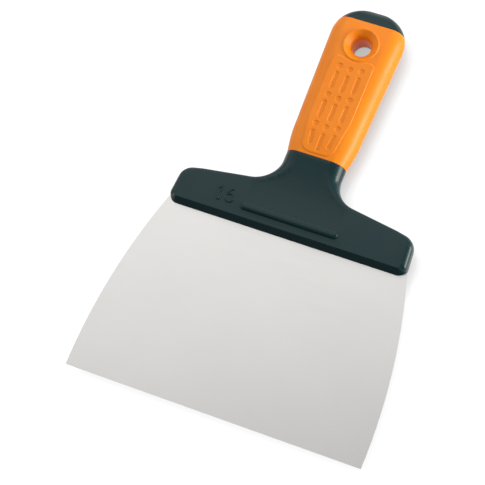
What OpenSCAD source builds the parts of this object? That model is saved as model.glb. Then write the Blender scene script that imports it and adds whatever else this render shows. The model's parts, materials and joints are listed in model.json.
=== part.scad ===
// Flexible putty knife with a two-shot moulded handle.
// It lies flat with the blade in the XY plane. The origin is the middle of the working edge, at
// half the blade's thickness. +Y runs from the edge to the butt. Sizes are in millimetres.

/* [Blade] */
// Width of the blade at its widest line
blade_w = 160; // [130:1:200]
// Length of blade in front of the bolster
blade_free_l = 98.5; // [80:0.5:120]
// Thickness of the blade sheet
blade_t = 0.6; // [0.4:0.1:1]
// Radius of the long curve of each side
blade_side_r = 320; // [260:5:600]
// Distance from the working edge to the widest line
blade_widest_y = 6; // [0:1:12]

/* [Tang] */
// How far the blade's full width runs past the mouth of the bolster
shoulder_l = 3; // [2:0.5:5]
// Plastic outside each side of the tang
tang_side_wall = 6; // [4:0.5:10]
// Plastic behind the tang at the ends of the bolster
tang_back_wall = 5; // [4:0.5:8]
// Width of the tongue that runs up the neck
tongue_w = 18; // [12:1:20]
// How far the tongue runs into the grip
tongue_in_grip_l = 14; // [10:1:30]
// Diameter of the locking holes
lock_d = 6; // [4:0.5:7]
// Locking holes on each side of the middle
locks_per_side = 2; // [1:1:3]

/* [Bolster] */
// Thickness of the bolster
bolster_t = 11; // [9:0.5:13]
// Depth of the bolster at its ends, from the mouth to the back
bolster_end_l = 21; // [19:0.5:30]
// Slope of the back edge, in degrees
bolster_back_slope = 8.5; // [4:0.5:12]
// How much of each blade shoulder shows beside the bolster
shoulder_show = 0.4; // [0.2:0.1:2]
// Radius of the front corners
bolster_front_r = 5; // [3:0.5:6]
// Radius of the back corners
bolster_back_r = 7.5; // [4:0.5:8]
// Rounding along the edges of the bolster
bolster_edge_r = 2; // [1:0.5:2.5]
// Depth of the bevel at the mouth
mouth_bevel_l = 2.2; // [1:0.1:3]
// Plastic on each face of the blade, at the very mouth
mouth_lip = 0.5; // [0.3:0.1:1]

/* [Raised bar] */
// Length of the bar
bar_l = 53; // [30:1:80]
// Width of the bar
bar_w = 4; // [2:0.5:6]
// Height of the bar
bar_h = 1; // [0.5:0.1:1.5]
// Distance from the mouth to the middle of the bar
bar_from_mouth = 8.4; // [7:0.1:12]

/* [Neck] */
// Width of the neck
neck_w = 32.5; // [28:0.5:34]
// Thickness of the neck where the grip starts
neck_t = 15; // [13:0.5:16]
// Distance from the mouth of the bolster to the grip
grip_from_mouth = 44.5; // [42:0.5:60]
// Radius of the fillet between the bolster and the neck
neck_fillet_r = 14; // [6:0.5:15]

/* [Grip] */
// Length of the grip
grip_l = 79.5; // [70:0.5:110]
// Width of the grip behind its swell
grip_front_w = 36.5; // [34:0.5:38]
// Width of the handle at its widest, by the hanging hole
handle_w = 40; // [38:0.5:47]
// Thickness of the handle
handle_t = 17; // [16:0.5:21]
// Thickness of the soft grip over the spine
grip_wall = 2.2; // [1.6:0.1:2.6]
// Length over which the grip swells behind the neck
swell_l = 16; // [10:1:20]

/* [Butt] */
// Length of the butt behind the grip
butt_l = 9; // [6:0.5:12]
// Length of the rounded end in plan
end_round_l = 17.5; // [14:0.5:20]
// Length of the rounded end from the side
end_slope_l = 24; // [20:0.5:30]
// Squareness of the end in plan, where 2 is an ellipse
end_squareness = 2.2; // [2:0.1:4]

/* [Hanging hole] */
// Diameter of the hole
hole_d = 10; // [7:0.5:12]
// Distance from the middle of the hole to the end of the butt
hole_from_end = 23; // [19:0.5:27]
// Width of the countersink
countersink_d = 17; // [14:0.5:18]
// Depth of the countersink
countersink_h = 4.5; // [3:0.5:5]
// Width of the raised lip round the countersink
ring_lip = 1; // [0.5:0.1:1.5]
// Height of the raised lip
ring_h = 0.4; // [0.2:0.1:0.8]
// Soft lining between the hole and the spine
hole_lining = 2.2; // [1.6:0.1:2.4]

/* [Grip pattern] */
// Height of the raised panel
panel_h = 0.4; // [0.2:0.1:0.6]
// Width of the panel
panel_w = 22.4; // [20:0.2:24]
// Width of the panel's front end
panel_front_w = 17.8; // [14:0.2:18]
// Gap between the front of the grip and the panel
panel_front_gap = 1.5; // [1:0.5:4]
// Gap between the raised lip and the panel
panel_ring_gap = 1.2; // [0.8:0.1:2]
// Distance from the hole to the first row of dots
first_row_from_hole = 14.5; // [13:0.1:17]
// Spacing of the rows
row_pitch = 17; // [14:0.1:18]
// Spacing of the columns
column_pitch = 6; // [5:0.1:6.5]
// How far the middle column sits forward of the outer ones
middle_drop = 0.8; // [0:0.1:2]
// Diameter of the dots
dot_d = 3; // [2:0.1:4]
// Width of the slots
slot_w = 2.1; // [1.5:0.1:3]
// Length of the slots
slot_l = 9.8; // [6:0.1:10]
// Length of the outer slots in the front row
front_slot_l = 8.2; // [5:0.1:9]
// Slant of the outer slots in the front row, in degrees
front_slant = 8; // [0:1:12]
// Gap between a dot and its slot
dot_gap = 2.1; // [1:0.1:3]
// Depth of the dots and slots
pattern_depth = 0.6; // [0.3:0.1:0.8]
// Radius of the panel's front corners
panel_front_r = 5; // [3:0.5:6]
// Radius of the panel's back corners
panel_back_r = 2; // [1:0.5:3]
// Length over which the panel widens from its front end
panel_widen_l = 20; // [10:1:30]

/* [Hidden] */
$fn = 96;
hull_fn = 32;
section_points = 48;
swell_steps = 5;
taper_steps = 2;
end_steps = 12;
over = 1;
far = 400;

// Places along the tool, from the working edge
mouth_y = blade_free_l;
grip_y = mouth_y + grip_from_mouth;
butt_y = grip_y + grip_l;
end_y = butt_y + butt_l;
hole_y = end_y - hole_from_end;
swell_y = grip_y + swell_l;
wide_y = end_y - end_round_l;
slope_y = end_y - end_slope_l;

// Half the blade's width at a distance y from the working edge
function blade_half(y) =
    blade_w/2 - blade_side_r + sqrt(pow(blade_side_r, 2) - pow(y - blade_widest_y, 2));

// The bolster's width follows the blade where its shoulders end, less what shows of them
bolster_half = blade_half(mouth_y + shoulder_l) - shoulder_show;
tang_half = bolster_half - tang_side_wall;
tang_y = mouth_y + bolster_end_l - tang_back_wall;
tongue_y = grip_y + tongue_in_grip_l;
lock_y = (mouth_y + shoulder_l + tang_y)/2;
lock_pitch = tang_half/(locks_per_side + 0.5);

// The bolster's back edge climbs from its ends to a shelf that carries the neck
shelf_half = neck_w/2 + neck_fillet_r;
back_corner_x = bolster_half - bolster_back_r;
shelf_y = mouth_y + bolster_end_l + (back_corner_x - shelf_half)*tan(bolster_back_slope);

// Half the handle's width and half its thickness at y, as the hand feels them
function widen(y) = (handle_w - grip_front_w)/2*(y - swell_y)/(wide_y - swell_y);
function swell(y) = sin(90*(y - grip_y)/swell_l);
function half_w(y) =
    y > wide_y ? handle_w/2*pow(1 - pow((y - wide_y)/end_round_l, end_squareness), 1/end_squareness) :
    y > swell_y ? grip_front_w/2 + widen(y) :
    y > grip_y ? neck_w/2 + (grip_front_w - neck_w)/2*swell(y) :
    neck_w/2;
function half_t(y) =
    y > slope_y ? handle_t/2*sqrt(1 - pow((y - slope_y)/end_slope_l, 2)) :
    y > swell_y ? handle_t/2 :
    y > grip_y ? neck_t/2 + (handle_t - neck_t)/2*swell(y) :
    y > shelf_y ? bolster_t/2 + (neck_t - bolster_t)/2*(1 - cos(90*(y - shelf_y)/(grip_y - shelf_y))) :
    bolster_t/2;

// Stations of the handle's sections, from y1 to y2
function steps(y1, y2, n) = [for (i = [0:n]) y1 + (y2 - y1)*i/n];
neck_stations = concat([shelf_y - bolster_edge_r*3], steps(shelf_y, grip_y, swell_steps));
end_stations = [for (i = [1:end_steps - 1]) wide_y + end_round_l*sin(90*i/end_steps)];
grip_stations = concat(
    steps(grip_y, swell_y, swell_steps),
    steps(swell_y, slope_y, taper_steps),
    [for (i = [1:end_steps]) slope_y + (butt_y - slope_y)*i/end_steps]
);
butt_stations = concat([butt_y], [for (y = end_stations) if (y > butt_y + over/4) y], [end_y - over/100]);

// Dots and slots sit in rows that run from the hole towards the neck
panel_y = grip_y + panel_front_gap;
first_row_y = hole_y - first_row_from_hole;
slot_from_dot = dot_d/2 + dot_gap + slot_l/2;
row_l = slot_from_dot + slot_l/2;
rows = 1 + floor((first_row_y - row_l - panel_y)/row_pitch);

// One section across the handle: flat faces with half-round sides
function section(y, wall) =
    let (t = half_t(y) - wall, flat = max(half_w(y) - wall - t, 0))
    [for (i = [0:section_points - 1])
        let (a = 360*(i + 0.5)/section_points)
        [sign(cos(a))*flat + t*cos(a), y, t*sin(a)]];

// Sections at these stations, all as far below the handle's surface
function under(stations, wall) = [for (y = stations) [y, wall]];
spine_sections = under(grip_stations, grip_wall);

// A closed skin over a list of sections
module skin(sections) {
    n = section_points;
    last = (len(sections) - 1)*n;
    function corner(i, j) = i*n + j%n;
    polyhedron(
        points = [for (s = sections) each section(s[0], s[1])],
        faces = concat(
            [[for (j = [n - 1:-1:0]) j]],
            [[for (j = [0:n - 1]) last + j]],
            [for (i = [0:len(sections) - 2], j = [0:n - 1])
                each [[corner(i, j), corner(i + 1, j + 1), corner(i + 1, j)],
                      [corner(i, j), corner(i, j + 1), corner(i + 1, j + 1)]]]
        )
    );
}

// A flat bar with round ends, along X
module round_bar(l, w) {
    square([l - w, w], center = true);
    for (s = [-1, 1]) translate([s*(l - w)/2, 0]) circle(d = w);
}

module side_disc(s) {
    translate([s*(blade_side_r - blade_w/2), blade_widest_y]) circle(r = blade_side_r, $fn = 720);
}

module blade_outline() {
    intersection() {
        side_disc(-1);
        side_disc(1);
        translate([-blade_w, 0]) square([2*blade_w, mouth_y + shoulder_l]);
    }
}

// Blade, with its tang and the tongue that runs through the neck
module blade() {
    color("gainsboro")
        linear_extrude(blade_t, center = true)
            difference() {
                union() {
                    blade_outline();
                    translate([-tang_half, mouth_y]) square([2*tang_half, tang_y - mouth_y]);
                    translate([-tongue_w/2, mouth_y]) square([tongue_w, tongue_y - mouth_y]);
                }
                for (s = [-1, 1], i = [1:locks_per_side])
                    translate([s*i*lock_pitch, lock_y]) circle(d = lock_d);
                for (y = [shelf_y, grip_y]) translate([0, y]) circle(d = lock_d);
            }
}

// A disc as thick as the bolster, with rounded edges
module puck(x, y, r) {
    e = bolster_edge_r;
    h = bolster_t/2;
    arc_a = [0:22.5:90];
    translate([x, y, 0])
        rotate_extrude($fn = hull_fn)
            polygon(concat(
                [[0, -h]],
                [for (a = arc_a) [r - e + e*sin(a), e - h - e*cos(a)]],
                [for (a = arc_a) [r - e + e*cos(a), h - e + e*sin(a)]],
                [[0, h]]
            ));
}

module bolster_bar() {
    shelf_r = bolster_end_l/2;
    intersection() {
        hull()
            for (s = [-1, 1]) {
                puck(s*(bolster_half - bolster_front_r), mouth_y + bolster_front_r, bolster_front_r);
                puck(s*back_corner_x, mouth_y + bolster_end_l - bolster_back_r, bolster_back_r);
                puck(s*shelf_half, shelf_y - shelf_r, shelf_r);
            }
        mouth_bevel();
    }
}

// Everything behind two planes that slope away from the lips of the mouth
module mouth_bevel() {
    lip = blade_t/2 + mouth_lip;
    rotate([90, 0, 90])
        linear_extrude(far, center = true)
            polygon([
                [mouth_y, -lip], [mouth_y + mouth_bevel_l, -bolster_t/2], [far, -bolster_t/2],
                [far, bolster_t/2], [mouth_y + mouth_bevel_l, bolster_t/2], [mouth_y, lip]
            ]);
}

module neck_fillets() {
    r = neck_fillet_r;
    linear_extrude(bolster_t, center = true)
        for (s = [-1, 1])
            difference() {
                translate([s*(shelf_half - r/2 - over/2), shelf_y + r/2 - over/2])
                    square([r + over, r + over], center = true);
                translate([s*shelf_half, shelf_y + r]) circle(r = r);
            }
}

module raised_bar() {
    translate([0, mouth_y + bar_from_mouth, 0])
        linear_extrude(bolster_t + 2*bar_h, center = true) round_bar(bar_l, bar_w);
}

// The hole in the spine, which the soft grip lines
module lining_hole() {
    translate([0, hole_y, 0]) cylinder(d = hole_d + 2*hole_lining, h = far, center = true);
}

// Handle core: bolster, neck, spine and butt in one moulding round the tang
module handle_core() {
    color("darkslategray")
        difference() {
            union() {
                bolster_bar();
                raised_bar();
                neck_fillets();
                skin(concat(under(neck_stations, 0), spine_sections, under(butt_stations, 0)));
            }
            blade();
            lining_hole();
        }
}

module panel_outline() {
    widen_y = panel_y + panel_widen_l;
    difference() {
        hull()
            for (s = [-1, 1]) {
                translate([s*(panel_front_w/2 - panel_front_r), panel_y + panel_front_r])
                    circle(r = panel_front_r, $fn = hull_fn);
                translate([s*(panel_w/2 - panel_back_r), widen_y]) circle(r = panel_back_r, $fn = hull_fn);
                translate([s*(panel_w/2 - panel_back_r), first_row_y + dot_d/2 + panel_back_r])
                    circle(r = panel_back_r, $fn = hull_fn);
            }
        translate([0, hole_y]) circle(r = countersink_d/2 + ring_lip + panel_ring_gap);
    }
}

// Dots, each with a slot in front of it; the outer slots of the front row are short and slant inwards
module grip_pattern() {
    for (row = [0:rows - 1], column = [-1:1]) {
        front_outer = row == rows - 1 && column != 0;
        l = front_outer ? front_slot_l : slot_l;
        y = first_row_y - row*row_pitch - (column == 0 ? middle_drop : 0);
        translate([column*column_pitch, y]) {
            circle(d = dot_d);
            translate([0, -dot_d/2 - dot_gap])
                rotate(front_outer ? -column*front_slant : 0)
                    translate([0, -l/2]) rotate(90) round_bar(l, slot_w);
        }
    }
}

// Soft grip: sleeve on the spine, raised panel, and the lip, countersinks and lining of the hole
module soft_grip() {
    face = handle_t/2 + ring_h;
    panel_face = handle_t/2 + panel_h;
    color("darkorange")
        difference() {
            union() {
                skin(under(grip_stations, 0));
                translate([0, hole_y, 0])
                    cylinder(d = countersink_d + 2*ring_lip, h = 2*face, center = true);
                linear_extrude(2*panel_face, center = true) panel_outline();
            }
            difference() {
                skin(spine_sections);
                lining_hole();
            }
            translate([0, hole_y, 0]) {
                cylinder(d = hole_d, h = far, center = true);
                for (s = [0, 180])
                    rotate([0, s, 0])
                        translate([0, 0, face - countersink_h])
                            cylinder(d1 = hole_d, d2 = countersink_d, h = countersink_h);
            }
            for (s = [-1, 1])
                translate([0, 0, s*(panel_face + over/2 - pattern_depth/2)])
                    linear_extrude(pattern_depth + over, center = true) grip_pattern();
        }
}

blade();
handle_core();
soft_grip();
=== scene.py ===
import json
import math

import bmesh
import bpy
import numpy as np
from mathutils import Matrix, Vector
from mathutils.geometry import delaunay_2d_cdt


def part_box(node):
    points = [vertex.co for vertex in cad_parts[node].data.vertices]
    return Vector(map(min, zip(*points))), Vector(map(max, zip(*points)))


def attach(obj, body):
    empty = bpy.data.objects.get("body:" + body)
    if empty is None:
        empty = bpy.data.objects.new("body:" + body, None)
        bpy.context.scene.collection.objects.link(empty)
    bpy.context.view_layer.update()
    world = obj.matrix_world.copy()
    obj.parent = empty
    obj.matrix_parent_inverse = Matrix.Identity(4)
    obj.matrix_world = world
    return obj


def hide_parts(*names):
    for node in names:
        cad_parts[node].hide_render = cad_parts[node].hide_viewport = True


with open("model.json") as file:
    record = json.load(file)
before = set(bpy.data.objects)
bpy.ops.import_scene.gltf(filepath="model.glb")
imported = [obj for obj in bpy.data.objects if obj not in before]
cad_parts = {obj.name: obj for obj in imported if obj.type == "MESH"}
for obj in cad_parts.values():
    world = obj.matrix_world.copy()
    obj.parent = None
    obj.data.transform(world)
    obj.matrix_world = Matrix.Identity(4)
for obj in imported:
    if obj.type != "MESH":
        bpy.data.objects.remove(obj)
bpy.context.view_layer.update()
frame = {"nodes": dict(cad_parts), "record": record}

mm = 0.001
scene = bpy.context.scene

# Places in millimetres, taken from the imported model
coreBox, gripBox = [[corner/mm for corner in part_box(node)] for node in ("handle_core", "soft_grip")]
mounts = {mount["name"]: mount for mount in frame["record"]["mounts"]}
hole = {
    "y": mounts["hanging_hole"]["pos_m"][1]/mm,
    "radius": mounts["hanging_hole"]["dims"]["r_mm"],
}
mouthY = coreBox[0].y
gripY = gripBox[0].y
buttY = gripBox[1].y
endY = coreBox[1].y
floorZ = gripBox[0].z


# Small helpers

def hexToLinear(code):
    channels = [int(code[i:i + 2], 16)/255 for i in (1, 3, 5)]
    return [c/12.92 if c <= 0.04045 else ((c + 0.055)/1.055)**2.4 for c in channels] + [1.0]


def addNode(tree, kind, inputs=None, **settings):
    node = tree.nodes.new(kind)
    for name, value in settings.items():
        setattr(node, name, value)
    for name, value in (inputs or {}).items():
        if isinstance(value, bpy.types.NodeSocket):
            tree.links.new(value, node.inputs[name])
        else:
            node.inputs[name].default_value = value
    return node


def newMaterial(name):
    material = bpy.data.materials.new(name)
    material.use_nodes = True
    material.node_tree.nodes.clear()
    return material, material.node_tree


def smoothStep(low, high, value):
    t = np.clip((value - low)/(high - low), 0, 1)
    return t*t*(3 - 2*t)


def arc(centre, radius, start, end, count):
    angles = np.radians(np.linspace(start, end, count))
    normals = np.stack([np.cos(angles), np.sin(angles)], 1)
    return np.array(centre) + radius*normals, normals


def line(start, end, count):
    start, end = np.array(start, float), np.array(end, float)
    along = (end - start)/np.linalg.norm(end - start)
    points = start + np.linspace(0, 1, count)[:, None]*(end - start)
    return points, np.tile([along[1], -along[0]], (count, 1))


def signedDistance(points, outline):
    # negative inside a closed outline
    a, b = outline, np.roll(outline, -1, 0)
    ab = b - a
    best = np.full(len(points), np.inf)
    inside = np.zeros(len(points), bool)
    for i in range(len(a)):
        ap = points - a[i]
        t = np.clip(ap @ ab[i]/(ab[i] @ ab[i]), 0, 1)
        best = np.minimum(best, np.linalg.norm(ap - t[:, None]*ab[i], axis=1))
        crosses = (a[i][1] > points[:, 1]) != (b[i][1] > points[:, 1])
        if ab[i][1]:
            inside ^= crosses & (points[:, 0] < a[i][0] + (points[:, 1] - a[i][1])*ab[i][0]/ab[i][1])
    return np.where(inside, -best, best)


def gridFaces(rows, columns, start=0, keep=None):
    faces = []
    for i in range(rows - 1):
        for j in range(columns - 1):
            if keep is None or keep[i, j]:
                a = start + i*columns + j
                faces.append((a, a + 1, a + columns + 1, a + columns))
    return faces


# distances in millimetres for closing a mesh, and the margin that tells one outline point from another
weld = {"merge": 0.002, "degenerate": 0.001, "samePoint": 1e-4, "triangulate": 1e-7}


def doubleSided(name, halves, material, sharp):
    # each half is (points, faces) above z = 0; its mirror image closes it below
    bm = bmesh.new()
    for points, faces in halves:
        for side in (1, -1):
            verts = [bm.verts.new((x*mm, y*mm, side*z*mm)) for x, y, z in points]
            for face in faces:
                corners = list(dict.fromkeys(verts[i] for i in face))
                bm.faces.new(corners if side == 1 else corners[::-1])
    bmesh.ops.remove_doubles(bm, verts=bm.verts, dist=weld["merge"]*mm)
    bmesh.ops.dissolve_degenerate(bm, dist=weld["degenerate"]*mm, edges=bm.edges)
    openEdges = [edge for edge in bm.edges if edge.is_boundary]
    if openEdges:
        bmesh.ops.edgeloop_fill(bm, edges=openEdges)
    loose = [vert for vert in bm.verts if not vert.link_faces]
    bmesh.ops.delete(bm, geom=loose, context="VERTS")
    bmesh.ops.recalc_face_normals(bm, faces=bm.faces)
    print(name, "open edges left:", sum(not edge.is_manifold for edge in bm.edges), "faces:", len(bm.faces))
    mesh = bpy.data.meshes.new(name)
    bm.to_mesh(mesh)
    bm.free()
    mesh.polygons.foreach_set("use_smooth", [True]*len(mesh.polygons))
    mesh.set_sharp_from_angle(angle=math.radians(sharp))
    piece = bpy.data.objects.new(name, mesh)
    scene.collection.objects.link(piece)
    piece.data.materials.append(material)
    return piece


def fillBetween(loops, extra, keep):
    # triangles over points in the plane; loops are closed and become edges
    points = [p for loop in loops for p in loop] + list(extra)
    edges, start = [], 0
    for loop in loops:
        n = len(loop)
        edges += [(start + i, start + (i + 1) % n) for i in range(n)]
        start += n
    insideLoops = 1  # the kind of output that leaves out what lies outside the loops
    result = delaunay_2d_cdt([Vector(p) for p in points], edges, [], insideLoops, weld["triangulate"])
    verts, faces = np.array([tuple(v) for v in result[0]]), result[2]
    faces = [face for face in faces if keep(verts[face].mean(0))]
    return verts, faces


# The handle's form, shared by the core and the grip

handle = {
    "neckHalf": 16.25, "neckThick": 7.5,
    "frontHalf": 18.25, "wideHalf": 20.0, "halfThick": 8.5,
    "swell": 16.0, "endRound": 17.5, "endSlope": 24.0, "squareness": 2.2,
    "bolsterThick": 5.5, "shelfY": 117.0,
    "seam": 0.16,  # edges rounded where two plastics meet
}
swellY = gripY + handle["swell"]
wideY = endY - handle["endRound"]
slopeY = endY - handle["endSlope"]


def halfWidth(y):
    if y > wideY:
        share = min((y - wideY)/handle["endRound"], 1)
        return handle["wideHalf"]*(1 - share**handle["squareness"])**(1/handle["squareness"])
    if y > swellY:
        share = (y - swellY)/(wideY - swellY)
        return handle["frontHalf"] + (handle["wideHalf"] - handle["frontHalf"])*share
    if y > gripY:
        share = math.sin(math.pi/2*(y - gripY)/handle["swell"])
        return handle["neckHalf"] + (handle["frontHalf"] - handle["neckHalf"])*share
    return handle["neckHalf"]


def halfThick(y):
    if y > slopeY:
        return handle["halfThick"]*math.sqrt(max(1 - ((y - slopeY)/handle["endSlope"])**2, 0))
    if y > swellY:
        return handle["halfThick"]
    if y > gripY:
        share = math.sin(math.pi/2*(y - gripY)/handle["swell"])
        return handle["neckThick"] + (handle["halfThick"] - handle["neckThick"])*share
    if y > handle["shelfY"]:
        share = 1 - math.cos(math.pi/2*(y - handle["shelfY"])/(gripY - handle["shelfY"]))
        return handle["bolsterThick"] + (handle["neckThick"] - handle["bolsterThick"])*share
    return handle["bolsterThick"]


# rows that round a moulding's edge off at a seam: (distance from the seam, how far the surface sinks)
seamRows = [(handle["seam"]*(1 - math.cos(a)), handle["seam"]*(1 - math.sin(a)))
            for a in np.radians([0, 30, 60, 90])]


# Materials

noiseLow, noiseHigh = 0.3, 0.7  # where most of a noise texture's values lie


def stainlessSteel():
    # rolled and belt-ground stainless sheet: a satin grey-white with fine scratches across the blade
    steel = {
        "light": "#cfcecc", "dark": "#c5c3c1", "roughLow": 0.28, "roughHigh": 0.34,
        "grainWidth": 0.5,   # real grit lines are near 0.1 mm; drawn coarser so that they show
        "grainLength": 22, "clouds": 40, "bump": 0.01, "bumpStrength": 0.25, "shareStart": 0.2,
    }
    material, tree = newMaterial("stainlessSteelGround")
    coords = addNode(tree, "ShaderNodeTexCoord")
    stretch = addNode(tree, "ShaderNodeMapping", {
        "Vector": coords.outputs["Object"],
        "Scale": (1/(steel["grainLength"]*mm), 1/(steel["grainWidth"]*mm), 1/(steel["grainWidth"]*mm))})
    grain = addNode(tree, "ShaderNodeTexNoise", {
        "Vector": stretch.outputs["Vector"], "Scale": 1.0, "Detail": 4.0, "Roughness": 0.65})
    clouds = addNode(tree, "ShaderNodeTexNoise", {
        "Vector": coords.outputs["Object"], "Scale": 1/(steel["clouds"]*mm), "Detail": 2.0})
    mixed = addNode(tree, "ShaderNodeMath", {
        0: grain.outputs["Fac"], 1: clouds.outputs["Fac"], 2: steel["shareStart"]}, operation="MULTIPLY_ADD")
    tint = addNode(tree, "ShaderNodeMix", {
        "Factor": mixed.outputs[0], "A": hexToLinear(steel["dark"]), "B": hexToLinear(steel["light"])},
        data_type="RGBA")
    rough = addNode(tree, "ShaderNodeMapRange", {
        "Value": grain.outputs["Fac"], "From Min": noiseLow, "From Max": noiseHigh,
        "To Min": steel["roughLow"], "To Max": steel["roughHigh"]})
    bump = addNode(tree, "ShaderNodeBump", {
        "Height": grain.outputs["Fac"], "Strength": steel["bumpStrength"],
        "Distance": steel["bump"]*mm})
    shader = addNode(tree, "ShaderNodeBsdfPrincipled", {
        "Base Color": tint.outputs["Result"], "Roughness": rough.outputs["Result"],
        "Metallic": 1.0, "Normal": bump.outputs["Normal"]})
    addNode(tree, "ShaderNodeOutputMaterial", {"Surface": shader.outputs["BSDF"]})
    return material


def polypropylene():
    # injection-moulded polypropylene from a spark-eroded tool: a dark satin with a soft, even shine
    plastic = {
        "base": "#05272a", "paleToneAndEdgeHighlight": "#0a3134", "roughLow": 0.25, "roughHigh": 0.32,
        "texture": 0.35,   # spark-eroded pits are near 0.05 mm; drawn coarser so that they show
        "clouds": 14, "bump": 0.006, "bumpStrength": 0.3, "ior": 1.49, "specular": 0.26,
        "edgeLow": 0.52, "edgeHigh": 0.62, "edgeHighlight": 0.5,   # convex edges go towards the paler colour, a painted highlight along every rounded edge
        "cloudShare": 0.5,
    }
    material, tree = newMaterial("polypropyleneMoulded")
    coords = addNode(tree, "ShaderNodeTexCoord")
    pits = addNode(tree, "ShaderNodeTexNoise", {
        "Vector": coords.outputs["Object"], "Scale": 1/(plastic["texture"]*mm), "Detail": 3.0,
        "Roughness": 0.6})
    clouds = addNode(tree, "ShaderNodeTexNoise", {
        "Vector": coords.outputs["Object"], "Scale": 1/(plastic["clouds"]*mm), "Detail": 3.0})
    geometry = addNode(tree, "ShaderNodeNewGeometry")
    # painted highlight: convex edges turn paler by pointiness, whatever the light
    edges = addNode(tree, "ShaderNodeMapRange", {
        "Value": geometry.outputs["Pointiness"], "From Min": plastic["edgeLow"],
        "From Max": plastic["edgeHigh"], "To Min": 0.0, "To Max": plastic["edgeHighlight"]})
    # the clouds give a real random tone; the edge term adds the painted highlight
    share = addNode(tree, "ShaderNodeMath", {
        0: clouds.outputs["Fac"], 1: plastic["cloudShare"], 2: edges.outputs["Result"]},
        operation="MULTIPLY_ADD")
    tint = addNode(tree, "ShaderNodeMix", {
        "Factor": share.outputs[0], "A": hexToLinear(plastic["base"]), "B": hexToLinear(plastic["paleToneAndEdgeHighlight"])},
        data_type="RGBA")
    rough = addNode(tree, "ShaderNodeMapRange", {
        "Value": clouds.outputs["Fac"], "From Min": noiseLow, "From Max": noiseHigh,
        "To Min": plastic["roughLow"], "To Max": plastic["roughHigh"]})
    bump = addNode(tree, "ShaderNodeBump", {
        "Height": pits.outputs["Fac"], "Strength": plastic["bumpStrength"],
        "Distance": plastic["bump"]*mm})
    shader = addNode(tree, "ShaderNodeBsdfPrincipled", {
        "Base Color": tint.outputs["Result"], "Roughness": rough.outputs["Result"],
        "IOR": plastic["ior"], "Specular IOR Level": plastic["specular"], "Normal": bump.outputs["Normal"]})
    addNode(tree, "ShaderNodeOutputMaterial", {"Surface": shader.outputs["BSDF"]})
    return material


def elastomer():
    # thermoplastic elastomer moulded over the core: saturated orange, soft and nearly matt
    rubber = {
        "base": "#f98d05", "deep": "#f48304", "roughLow": 0.40, "roughHigh": 0.48,
        "texture": 0.3,    # the mould's fine texture, drawn coarse enough to show
        "clouds": 9, "bump": 0.008, "bumpStrength": 0.3, "ior": 1.5, "specular": 0.32,
    }
    material, tree = newMaterial("thermoplasticElastomerMoulded")
    coords = addNode(tree, "ShaderNodeTexCoord")
    texture = addNode(tree, "ShaderNodeTexNoise", {
        "Vector": coords.outputs["Object"], "Scale": 1/(rubber["texture"]*mm), "Detail": 3.0,
        "Roughness": 0.6})
    clouds = addNode(tree, "ShaderNodeTexNoise", {
        "Vector": coords.outputs["Object"], "Scale": 1/(rubber["clouds"]*mm), "Detail": 3.0})
    tint = addNode(tree, "ShaderNodeMix", {
        "Factor": clouds.outputs["Fac"], "A": hexToLinear(rubber["base"]), "B": hexToLinear(rubber["deep"])},
        data_type="RGBA")
    rough = addNode(tree, "ShaderNodeMapRange", {
        "Value": clouds.outputs["Fac"], "From Min": noiseLow, "From Max": noiseHigh,
        "To Min": rubber["roughLow"], "To Max": rubber["roughHigh"]})
    bump = addNode(tree, "ShaderNodeBump", {
        "Height": texture.outputs["Fac"], "Strength": rubber["bumpStrength"],
        "Distance": rubber["bump"]*mm})
    shader = addNode(tree, "ShaderNodeBsdfPrincipled", {
        "Base Color": tint.outputs["Result"], "Roughness": rough.outputs["Result"],
        "IOR": rubber["ior"], "Specular IOR Level": rubber["specular"], "Normal": bump.outputs["Normal"]})
    addNode(tree, "ShaderNodeOutputMaterial", {"Surface": shader.outputs["BSDF"]})
    return material


steelMaterial = stainlessSteel()
plasticMaterial = polypropylene()
rubberMaterial = elastomer()
print("materials made")


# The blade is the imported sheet, with its edges eased

blade = {"edgeBreak": 0.08, "segments": 2, "sharperThan": 60}
bladePiece = frame["nodes"]["blade"]
bladePiece.data.materials.clear()
bladePiece.data.materials.append(steelMaterial)
easing = bladePiece.modifiers.new("edgeBreak", "BEVEL")
easing.width = blade["edgeBreak"]*mm
easing.segments = blade["segments"]
easing.limit_method = "ANGLE"
easing.angle_limit = math.radians(blade["sharperThan"])
print("blade finished")


# The handle core: bolster and neck in one skin, and the butt

bolster = {
    "frontHalf": 65.3, "backHalf": 64.6, "endDepth": 13.4,
    "frontRound": 5.0, "backRound": 7.5, "edgeRound": 2.0, "endEdge": 3.4, "draft": 0.3,
    "slope": 8.5, "filletRound": 14.0,
    "bevelDepth": 2.3, "lip": 0.45, "rimSteps": 10,
    # the bevel's rings run ahead of an even spacing, and the last one steps further in
    "bevelEarly": 1.04, "bevelTurn": 0.12,
    "bevelLow": 0.25, "bevelHigh": 0.97,
    # where the edge rounding grows: up the neck (by y) and out at the ends (by x)
    "neckFrom": 122.5, "neckTo": 137, "neckWithin": 34, "endFrom": 52, "endTo": 61,
    "topFrom": 121, "topRows": 0.8, "topHalf": 30, "topColumns": 2.0, "topMargin": 0.8, "topEnd": 0.5,
    "closest": 0.01, "sharp": 38,
    "points": {"mouth": 30, "frontArc": 14, "end": 6, "backArc": 18, "back": 20, "fillet": 26,
               "neck": 8, "neckEnd": 10, "barEnd": 15},
    # the bar's round ends turn about endX; its profile is (radius, rise) from the foot to the crest
    "bar": {"endX": 24.5, "y": mouthY + 8.4,
            "profile": [(2.55, 0), (2.3, 0.03), (2.15, 0.14), (2.05, 0.5), (1.95, 0.85),
                        (1.72, 1.1), (1.35, 1.25), (0.9, 1.32), (0.45, 1.34)]},
}


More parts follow.
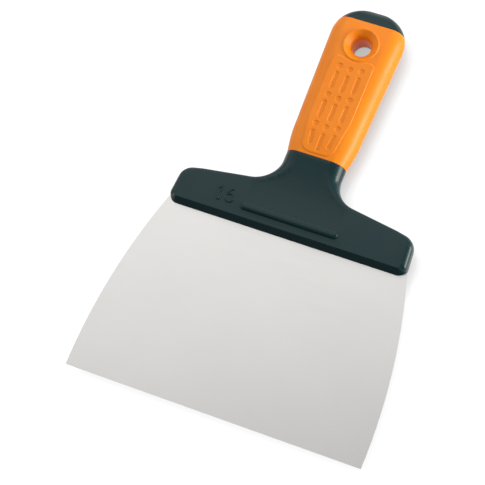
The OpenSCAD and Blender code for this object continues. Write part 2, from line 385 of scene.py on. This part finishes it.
def bolsterOutline():
    # from the middle of the mouth round the right end and up the neck, with outward normals
    b, count = bolster, bolster["points"]
    flare = math.degrees(math.atan((b["frontHalf"] - b["backHalf"])/(b["endDepth"] - b["frontRound"])))
    front = (b["frontHalf"] - b["frontRound"], mouthY + b["frontRound"])
    back = (b["backHalf"] - b["backRound"], mouthY + b["endDepth"])
    frontArc = arc(front, b["frontRound"], -90, flare, count["frontArc"])
    backArc = arc(back, b["backRound"], flare, 90 - b["slope"], count["backArc"])
    # the fillet touches both the neck and the sloping back edge
    slope = math.radians(b["slope"])
    filletX = handle["neckHalf"] + b["filletRound"]
    backX, backY = backArc[0][-1]
    filletY = backY + (b["filletRound"] + (backX - filletX)*math.sin(slope))/math.cos(slope)
    fillet = arc((filletX, filletY), b["filletRound"], 270 - b["slope"], 180, count["fillet"])
    neckYs = list(np.linspace(filletY, gripY - handle["seam"], count["neck"])[1:])
    neck = np.array([(halfWidth(y), y) for y in neckYs])
    pieces = [
        line((0, mouthY), frontArc[0][0], count["mouth"]),
        frontArc,
        line(frontArc[0][-1], backArc[0][0], count["end"]),
        backArc,
        line(backArc[0][-1], fillet[0][0], count["back"]),
        (fillet[0], -fillet[1]),
        (neck, np.tile([1.0, 0.0], (len(neck), 1))),
    ]
    points = np.concatenate([p[0] for p in pieces])
    normals = np.concatenate([p[1] for p in pieces])
    sink = np.zeros(len(points))
    for along, down in seamRows[::-1][1:]:
        points = np.vstack([points, [halfWidth(gripY) - down, gripY - along]])
        normals = np.vstack([normals, [1.0, 0.0]])
        sink = np.append(sink, down)
    apart = np.append(True, np.linalg.norm(np.diff(points, axis=0), axis=1) > b["closest"])
    return points[apart], normals[apart], sink[apart]


def bolsterHalf():
    b = bolster
    right, rightNormals, rightSink = bolsterOutline()
    flip = np.array([-1, 1])
    outline = np.concatenate([(right*flip)[::-1], right[1:]])
    normals = np.concatenate([(rightNormals*flip)[::-1], rightNormals[1:]])
    sink = np.concatenate([rightSink[::-1], rightSink[1:]])
    middle = len(right) - 1
    normals[middle] = (0, -1)

    height = np.array([halfThick(y) for y in outline[:, 1]]) - sink
    fromMiddle = np.abs(outline[:, 0])
    towardsNeck = smoothStep(b["neckFrom"], b["neckTo"], outline[:, 1])*(fromMiddle < b["neckWithin"])
    towardsEnd = smoothStep(b["endFrom"], b["endTo"], fromMiddle)
    edge = b["edgeRound"] + (height - b["edgeRound"])*towardsNeck + (b["endEdge"] - b["edgeRound"])*towardsEnd
    draft = b["draft"]*(1 - towardsNeck)
    bevel = smoothStep(b["bevelLow"], b["bevelHigh"], -normals[:, 1])

    steps = b["rimSteps"]
    rings = [(np.zeros(len(outline)), np.zeros(len(outline)))]
    for k in range(steps + 1):
        angle = math.pi/2*k/steps
        roundIn = draft + edge*(1 - math.cos(angle))
        roundUp = height - edge*(1 - math.sin(angle))
        reach = min(k/steps*b["bevelEarly"], 1)
        bevelUp = b["lip"] + (height - b["lip"])*reach
        bevelIn = b["bevelDepth"]*reach + b["bevelTurn"]*(k == steps)
        rings.append((roundIn + (bevelIn - roundIn)*bevel, roundUp + (bevelUp - roundUp)*bevel))
    points = []
    for inset, z in rings:
        xy = outline - normals*inset[:, None]
        points += [(x, y, h) for (x, y), h in zip(xy, z)]
    inner = np.array(points[-len(outline):])
    faces = gridFaces(len(rings), len(outline))
    start = len(points)

    # the top face between the rims, with the raised bar on it
    bar = b["bar"]
    barLoops, barHeights = [], []
    for radius, rise in bar["profile"]:
        rightEnd = arc((bar["endX"], bar["y"]), radius, -90, 90, b["points"]["barEnd"])[0]
        leftEnd = arc((-bar["endX"], bar["y"]), radius, 90, 270, b["points"]["barEnd"])[0]
        barLoops.append(np.concatenate([rightEnd, leftEnd]))
        barHeights.append(rise)
    neckXs = np.linspace(inner[-1][0], inner[0][0], b["points"]["neckEnd"])[1:-1]
    neckEnd = [(x, gripY) for x in neckXs]
    border = np.concatenate([inner[:, :2], neckEnd])
    gridX = np.arange(-b["topHalf"], b["topHalf"] + 0.1, b["topColumns"])
    gridY = np.arange(b["topFrom"], gripY - b["topEnd"], b["topRows"])
    grid = np.array([(x, y) for y in gridY for x in gridX])
    grid = grid[signedDistance(grid, border) < -b["topMargin"]]
    flat, triangles = fillBetween([border] + barLoops, grid, lambda centre: True)
    lift = np.zeros(len(flat))
    for loop, rise in zip(barLoops, barHeights):
        near = (np.abs(flat[:, None, :] - loop[None]).max(2) < weld["samePoint"]).any(1)
        lift[near] = rise
    seamSink = handle["seam"]*(flat[:, 1] > gripY - b["closest"])
    top = np.array([halfThick(y) for y in flat[:, 1]]) + lift - seamSink
    for i in range(len(flat)):
        gap = np.abs(inner[:, :2] - flat[i]).max(1)
        if gap.min() < weld["samePoint"]:
            top[i] = inner[gap.argmin()][2]
    points += [(x, y, z) for (x, y), z in zip(flat, top)]
    faces += [tuple(start + i for i in face) for face in triangles]
    return points, faces


butt = {"rows": 44, "sidePoints": 20, "topPoints": 14, "endGap": 0.005}


def buttHalf():
    side, top = butt["sidePoints"], butt["topPoints"]
    rows = sorted([(buttY, handle["seam"])] + [(buttY + along, down) for along, down in seamRows[1:]])
    for a in np.radians(np.linspace(0, 90, butt["rows"])):
        y = wideY + (endY - wideY)*math.sin(a)
        if y > buttY + 3*handle["seam"]:
            rows.append((min(y, endY - butt["endGap"]), 0))
    points = []
    for y, down in rows:
        thick, wide = halfThick(y) - down, halfWidth(y) - down
        flat = max(wide - thick, 0)
        for a in np.radians(np.linspace(180, 90, side)):
            points.append((-flat + thick*math.cos(a), y, thick*math.sin(a)))
        for x in np.linspace(-flat, flat, top)[1:-1]:
            points.append((x, y, thick))
        for a in np.radians(np.linspace(90, 0, side)):
            points.append((flat + thick*math.cos(a), y, thick*math.sin(a)))
    return points, gridFaces(len(rows), side + top - 2 + side)


corePiece = doubleSided("handleCore", [bolsterHalf(), buttHalf()], plasticMaterial, bolster["sharp"])
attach(corePiece, "root")
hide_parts("handle_core")
print("handle core built")


# The size mark: two plain digits raised on the bolster

digits = {
    "stroke": 0.4, "rise": 0.16, "oneX": -39.2, "sixX": -33.6,
    "low": mouthY + 7.7, "high": mouthY + 14.9,
    "roundness": 3, "flag": 1.6, "foot": 0.9,
    "loopRound": 2.2, "loopPoints": 33,
    "sweepRound": 5.5, "sweepX": 3.3, "sweepY": 2.6, "sweepFrom": 178, "sweepTo": 118, "sweepPoints": 12,
}


def digitStrokes():
    low, high, one, six = digits["low"], digits["high"], digits["oneX"], digits["sixX"]
    flag, foot, turn = digits["flag"], digits["foot"], digits["loopRound"]
    loop = arc((six, low + turn), turn, 0, 360, digits["loopPoints"])[0][:-1]
    centre = (six + digits["sweepX"], low + digits["sweepY"])
    start, end = digits["sweepFrom"], digits["sweepTo"]
    sweep = arc(centre, digits["sweepRound"], start, end, digits["sweepPoints"])[0]
    return [
        ([(one - flag, high - flag), (one, high), (one, low)], False),
        ([(one - foot, low), (one + foot, low)], False),
        (loop, True),
        (sweep, False),
    ]


markCurve = bpy.data.curves.new("sizeMark", "CURVE")
markCurve.dimensions = "3D"
markCurve.bevel_depth = digits["stroke"]*mm
markCurve.bevel_resolution = digits["roundness"]
markCurve.use_fill_caps = True
for points, closed in digitStrokes():
    spline = markCurve.splines.new("POLY")
    spline.points.add(len(points) - 1)
    for corner, (x, y) in zip(spline.points, points):
        corner.co = (x*mm, y*mm, (handle["bolsterThick"] + digits["rise"])*mm, 1)
    spline.use_cyclic_u = closed
markPiece = bpy.data.objects.new("sizeMark", markCurve)
scene.collection.objects.link(markPiece)
markCurve.materials.append(plasticMaterial)
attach(markPiece, "root")
print("size mark built")


# The soft grip: a sleeve with a raised panel, sunk dots and slots, and the lipped hole

grip = {
    "step": 0.23, "topHalf": 12.0, "sideSteps": 16,
    "panelRise": 0.4, "panelHalf": 11.2, "panelFrontHalf": 8.9, "panelFront": 1.5,
    "frontRound": 5.0, "backRound": 2.2, "widenLength": 20.0, "panelBack": 199.5,
    "edge": 0.15, "dotRadius": 1.45, "slotHalf": 1.05, "columns": 6.0, "middleDrop": 0.8,
    "firstRow": 194.0, "rowPitch": 17.0, "dotGap": 2.1, "slot": 9.8, "frontSlot": 8.2,
    "slant": 8.0, "depth": 0.36,
    "rows": 3, "lipOuter": 9.6, "lipInner": 8.7, "lipRise": 0.4, "moat": 1.2, "moatBlend": 1.2,
    "patch": 9.95, "cut": 10.2, "cutReach": 1.0, "around": 160, "sharp": 50,
    "frontPoints": 16, "backPoints": 8, "sideLean": 5,
    "rowMargin": 0.4,  # from each end of the grip to the first full row
    # the trumpet runs from the lip's crest to the throat; these pull its curve in and let it settle
    "crestDrop": 0.05, "pull": (6.9, 7.3), "settleZ": 6.2, "throatZ": 3.9, "funnelSteps": 26,
    "throatRows": (3.0, 2.0, 1.0, 0.45), "throatIn": 0.08,
    # across the lip: how far inside its outer radius, and the share of its rise
    "lipRows": [(-0.02, 0.12), (0.08, 0.55), (0.2, 0.88), (0.36, 1.0)], "lipFoot": 0.12, "lipBack": 0.1,
}


def panelOutline():
    g = grip
    front = gripY + g["panelFront"]
    widen = front + g["widenLength"]
    frontCentre = (g["panelFrontHalf"] - g["frontRound"], front + g["frontRound"])
    backCentre = (g["panelHalf"] - g["backRound"], g["panelBack"] - g["backRound"])
    right = np.concatenate([
        arc(frontCentre, g["frontRound"], -90, -g["sideLean"], g["frontPoints"])[0],
        [(g["panelHalf"], widen)],
        arc(backCentre, g["backRound"], 0, 90, g["backPoints"])[0],
    ])
    return np.concatenate([right, (right*[-1, 1])[::-1]])


def relief(x, y):
    # height of the pattern over the handle's own surface
    g = grip
    flatPoints = np.stack([x.ravel(), y.ravel()], 1)
    fromHole = np.hypot(flatPoints[:, 0], flatPoints[:, 1] - hole["y"])
    outside = signedDistance(flatPoints, panelOutline())
    nearRing = g["lipOuter"] + g["moat"] - fromHole
    soft = g["moatBlend"]
    blend = np.clip(0.5 + 0.5*(outside - nearRing)/soft, 0, 1)
    border = nearRing + (outside - nearRing)*blend + soft*blend*(1 - blend)
    height = g["panelRise"]*smoothStep(g["edge"], -g["edge"], border)
    recess = np.full(len(flatPoints), np.inf)
    for row in range(g["rows"]):
        for column in (-1, 0, 1):
            dot = np.array([column*g["columns"], g["firstRow"] - row*g["rowPitch"]
                            - (g["middleDrop"] if column == 0 else 0)])
            short = row == g["rows"] - 1 and column != 0
            length = g["frontSlot"] if short else g["slot"]
            angle = math.radians(-column*g["slant"] if short else 0)
            along = np.array([math.sin(angle), -math.cos(angle)])
            top = dot - [0, g["dotRadius"] + g["dotGap"]]
            recess = np.minimum(recess, np.linalg.norm(flatPoints - dot, axis=1) - g["dotRadius"])
            fromTop = flatPoints - (top + along*g["slotHalf"])
            reach = np.clip(fromTop @ along, 0, length - 2*g["slotHalf"])
            distance = np.linalg.norm(fromTop - reach[:, None]*along, axis=1) - g["slotHalf"]
            recess = np.minimum(recess, distance)
    height -= g["depth"]*smoothStep(g["edge"], -g["edge"], recess)
    return height.reshape(x.shape)


def surfaceHeight(x, y):
    thick, wide = halfThick(y), halfWidth(y)
    over = np.maximum(np.abs(x) - (wide - thick), 0)
    return np.sqrt(np.maximum(thick**2 - over**2, 0))


def holeProfile():
    # the lip is (radius, crest, share of the rise), and the trumpet and throat are (radius, height)
    g = grip
    crest = handle["halfThick"] + g["lipRise"]
    lip = [(g["lipOuter"] + g["lipFoot"], None, 0.0)]
    lip += [(g["lipOuter"] - inwards, crest, share) for inwards, share in g["lipRows"]]
    lip += [(g["lipInner"] + g["lipBack"], crest, 1.0)]
    start, end = np.array([g["lipInner"], crest - g["crestDrop"]]), np.array([hole["radius"], g["throatZ"]])
    pull, settle = np.array(g["pull"]), np.array([hole["radius"], g["settleZ"]])
    funnel = []
    for t in np.linspace(0, 1, g["funnelSteps"]):
        funnel.append(start*(1 - t)**3 + 3*pull*t*(1 - t)**2 + 3*settle*t*t*(1 - t) + end*t**3)
    throat = [(hole["radius"], z) for z in g["throatRows"]] + [(hole["radius"] - g["throatIn"], 0.0)]
    return lip, [tuple(p) for p in funnel] + throat


def gripHalf():
    g = grip
    fine = np.arange(-g["topHalf"], g["topHalf"] + 0.01, 2*g["topHalf"]/round(2*g["topHalf"]/g["step"]))
    first, last = gripY + g["rowMargin"], buttY - g["rowMargin"]
    inner = np.linspace(first, last, round((last - first)/g["step"]))
    rows = [(gripY + along, down) for along, down in seamRows]
    rows = sorted(rows) + [(y, 0) for y in inner] + sorted((buttY - along, down) for along, down in seamRows)
    columns = len(fine) + 2*g["sideSteps"]
    xs, ys, zs = [], [], []
    for y, down in rows:
        thick, wide = halfThick(y) - down, halfWidth(y) - down
        flat = wide - thick
        topAngle = math.acos((g["topHalf"] - flat)/thick)
        angles = topAngle*(1 - np.arange(1, g["sideSteps"] + 1)/g["sideSteps"])
        sideX, sideZ = flat + thick*np.cos(angles), thick*np.sin(angles)
        topZ = np.sqrt(thick**2 - np.maximum(np.abs(fine) - flat, 0)**2)
        xs.append(np.concatenate([-sideX[::-1], fine, sideX]))
        zs.append(np.concatenate([sideZ[::-1], topZ, sideZ]))
        ys.append(np.full(columns, y))
    xs, ys, zs = np.array(xs), np.array(ys), np.array(zs)
    top = slice(g["sideSteps"], g["sideSteps"] + len(fine))
    zs[:, top] += relief(xs[:, top], ys[:, top])

    away = np.hypot(xs, ys - hole["y"]) > g["cut"]
    keep = away[:-1, :-1] & away[1:, :-1] & away[:-1, 1:] & away[1:, 1:]
    points = [tuple(p) for p in np.stack([xs.ravel(), ys.ravel(), zs.ravel()], 1)]
    faces = gridFaces(len(rows), columns, 0, keep)

    # the stepped border of the cut, as a loop
    used = {}
    for a, b, c, d in faces:
        for edge in ((a, b), (b, c), (c, d), (d, a)):
            used[tuple(sorted(edge))] = used.get(tuple(sorted(edge)), 0) + 1
    links = {}
    for (a, b), count in used.items():
        if count == 1 and math.hypot(points[a][0], points[a][1] - hole["y"]) < g["cut"] + g["cutReach"]:
            links.setdefault(a, []).append(b)
            links.setdefault(b, []).append(a)
    begin = next(iter(links))
    loop = [begin]
    previous, current = None, begin
    while True:
        following = [n for n in links[current] if n != previous][0]
        if following == begin:
            break
        loop.append(following)
        previous, current = current, following
    stepped = np.array([points[i][:2] for i in loop])
    turns = np.linspace(0, 2*math.pi, g["around"], endpoint=False)
    circle = np.stack([np.cos(turns), np.sin(turns)], 1)
    rim = circle*g["patch"] + [0, hole["y"]]
    # the rim is a polygon, and this is the radius of the circle inside it
    rimFlat = g["patch"]*math.cos(math.pi/g["around"])
    flat, triangles = fillBetween(
        [stepped, rim], [], lambda centre: math.hypot(centre[0], centre[1] - hole["y"]) > rimFlat)
    start = len(points)
    points += [(x, y, float(surfaceHeight(x, y))) for x, y in flat]
    faces += [tuple(start + i for i in face) for face in triangles]

    # lip, trumpet and throat
    start = len(points)
    lip, below = holeProfile()
    ringCount = 1 + len(lip) + len(below)
    for x, y in rim:
        points.append((x, y, float(surfaceHeight(x, y))))
    for radius, crest, share in lip:
        for x, y in circle*radius + [0, hole["y"]]:
            base = float(surfaceHeight(x, y))
            points.append((x, y, base if crest is None else base + (crest - base)*share))
    for radius, z in below:
        for x, y in circle*radius + [0, hole["y"]]:
            points.append((x, y, z))
    n = g["around"]
    for ring in range(ringCount - 1):
        for i in range(n):
            a, b = start + ring*n + i, start + ring*n + (i + 1) % n
            faces.append((a, b, b + n, a + n))
    return points, faces


gripPiece = doubleSided("softGrip", [gripHalf()], rubberMaterial, grip["sharp"])
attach(gripPiece, "root")
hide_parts("soft_grip")
print("soft grip built")


# Floor, world, lamps and camera

def paleFloor():
    # grey acrylic with a white glow for the camera and reflections; a painted shadow dims the camera's glow
    # close to the object
    floor = {"colour": "#454545", "lift": 1.0, "gloss": 0.1, "ior": 1.49, "radius": 8, "sides": 96,
             "shade": 12, "shadeFrom": (-0.5, 0.34, 0.8), "shadeNone": 0.0, "shadeFull": 0.88,
             "shadeFloor": 0.36}
    material, tree = newMaterial("paleFloor")
    ray = addNode(tree, "ShaderNodeLightPath")
    x, y, z = floor["shadeFrom"]
    lean = addNode(tree, "ShaderNodeCombineXYZ", {"X": x, "Y": y, "Z": z})
    # painted shadow: occlusion leaning towards the back-left lamps darkens the glow beside the object, for
    # camera rays only
    paintedShadowOcclusion = addNode(tree, "ShaderNodeAmbientOcclusion", {
        "Distance": floor["shade"]*mm, "Normal": lean.outputs["Vector"]})
    shade = addNode(tree, "ShaderNodeMapRange", {
        "Value": paintedShadowOcclusion.outputs["AO"], "From Min": floor["shadeNone"], "From Max": floor["shadeFull"],
        "To Min": floor["shadeFloor"]})
    paintedShadowGlow = addNode(tree, "ShaderNodeMath", {
        0: ray.outputs["Is Camera Ray"], 1: shade.outputs["Result"]}, operation="MULTIPLY")
    seen = addNode(tree, "ShaderNodeMath", {
        0: paintedShadowGlow.outputs[0], 1: ray.outputs["Is Glossy Ray"]}, operation="MAXIMUM")
    seen = addNode(tree, "ShaderNodeMath", {
        0: seen.outputs[0], 1: ray.outputs["Is Transmission Ray"]}, operation="MAXIMUM")
    lift = addNode(tree, "ShaderNodeMath", {0: seen.outputs[0], 1: floor["lift"]}, operation="MULTIPLY")
    acrylic = addNode(tree, "ShaderNodeBsdfPrincipled", {
        "Base Color": hexToLinear(floor["colour"]), "Roughness": floor["gloss"], "IOR": floor["ior"]})
    glow = addNode(tree, "ShaderNodeEmission", {"Strength": lift.outputs[0]})
    both = addNode(tree, "ShaderNodeAddShader", {0: acrylic.outputs[0], 1: glow.outputs[0]})
    addNode(tree, "ShaderNodeOutputMaterial", {"Surface": both.outputs[0]})
    bm = bmesh.new()
    bmesh.ops.create_circle(bm, cap_ends=True, segments=floor["sides"], radius=floor["radius"])
    bmesh.ops.translate(bm, verts=bm.verts, vec=(0, 0, floorZ*mm))
    mesh = bpy.data.meshes.new("floor")
    bm.to_mesh(mesh)
    bm.free()
    mesh.materials.append(material)
    piece = bpy.data.objects.new("floor", mesh)
    scene.collection.objects.link(piece)


def studioWorld():
    # a room that is pale overhead and towards the butt, and dark in front of the blade
    room = {"dark": 0.29, "pale": 0.92, "towards": (-0.1, 0.85, 0.52), "darkBelow": 0.45, "paleAbove": 0.9}
    world = bpy.data.worlds.new("studio")
    world.use_nodes = True
    tree = world.node_tree
    tree.nodes.clear()
    coords = addNode(tree, "ShaderNodeTexCoord")
    facing = addNode(tree, "ShaderNodeVectorMath", {
        0: coords.outputs["Generated"], 1: room["towards"]}, operation="DOT_PRODUCT")
    level = addNode(tree, "ShaderNodeMapRange", {
        "Value": facing.outputs["Value"], "From Min": room["darkBelow"], "From Max": room["paleAbove"],
        "To Min": room["dark"], "To Max": room["pale"]}, interpolation_type="SMOOTHSTEP")
    light = addNode(tree, "ShaderNodeBackground", {
        "Color": (1, 1, 1, 1), "Strength": level.outputs["Result"]})
    addNode(tree, "ShaderNodeOutputWorld", {"Surface": light.outputs["Background"]})
    scene.world = world


def aim(thing, place, target, roll=0):
    place, target = Vector(place)*mm, Vector(target)*mm
    turn = (target - place).to_track_quat("-Z", "Y").to_matrix() @ Matrix.Rotation(math.radians(roll), 3, "Z")
    thing.matrix_world = Matrix.Translation(place) @ turn.to_4x4()


lamps = {
    "softboxBack": {"place": (-600, 950, 1250), "target": (0, 100, 0), "size": (1500, 1500),
                    "power": 5.9, "colour": "#ffffff"},
    "softboxLeft": {"place": (-1250, -50, 620), "target": (-20, 120, 0), "size": (1600, 1100),
                    "power": 5.5, "colour": "#ffffff"},
    "softboxRight": {"place": (900, 340, 620), "target": (20, 130, 0), "size": (1000, 700),
                     "power": 1.2, "colour": "#ffffff"},
    "stripRight": {"place": (1150, 400, 190), "target": (20, 130, 0), "size": (1000, 380),
                   "power": 18.0, "colour": "#fffdf8"},
}
for name, lamp in lamps.items():
    data = bpy.data.lights.new(name, "AREA")
    data.shape = "RECTANGLE"
    data.size, data.size_y = lamp["size"][0]*mm, lamp["size"][1]*mm
    data.energy = lamp["power"]
    data.color = hexToLinear(lamp["colour"])[:3]
    light = bpy.data.objects.new(name, data)
    scene.collection.objects.link(light)
    aim(light, lamp["place"], lamp["target"])

paleFloor()
studioWorld()

view = {"target": (-19.53, 89.73, 0), "distance": 1073.54, "azimuth": -45.371, "elevation": 66.96,
        "roll": -23.933, "lens": 157.16, "sensor": 36}
azimuth, elevation = math.radians(view["azimuth"]), math.radians(view["elevation"])
outwards = Vector((math.cos(elevation)*math.cos(azimuth), math.cos(elevation)*math.sin(azimuth),
                   math.sin(elevation)))
cameraData = bpy.data.cameras.new("camera")
cameraData.lens = view["lens"]
cameraData.sensor_width = view["sensor"]
camera = bpy.data.objects.new("camera", cameraData)
scene.collection.objects.link(camera)
aim(camera, Vector(view["target"]) + outwards*view["distance"], view["target"], view["roll"])
scene.camera = camera
scene.view_settings.view_transform = "Standard"
print("stage set")
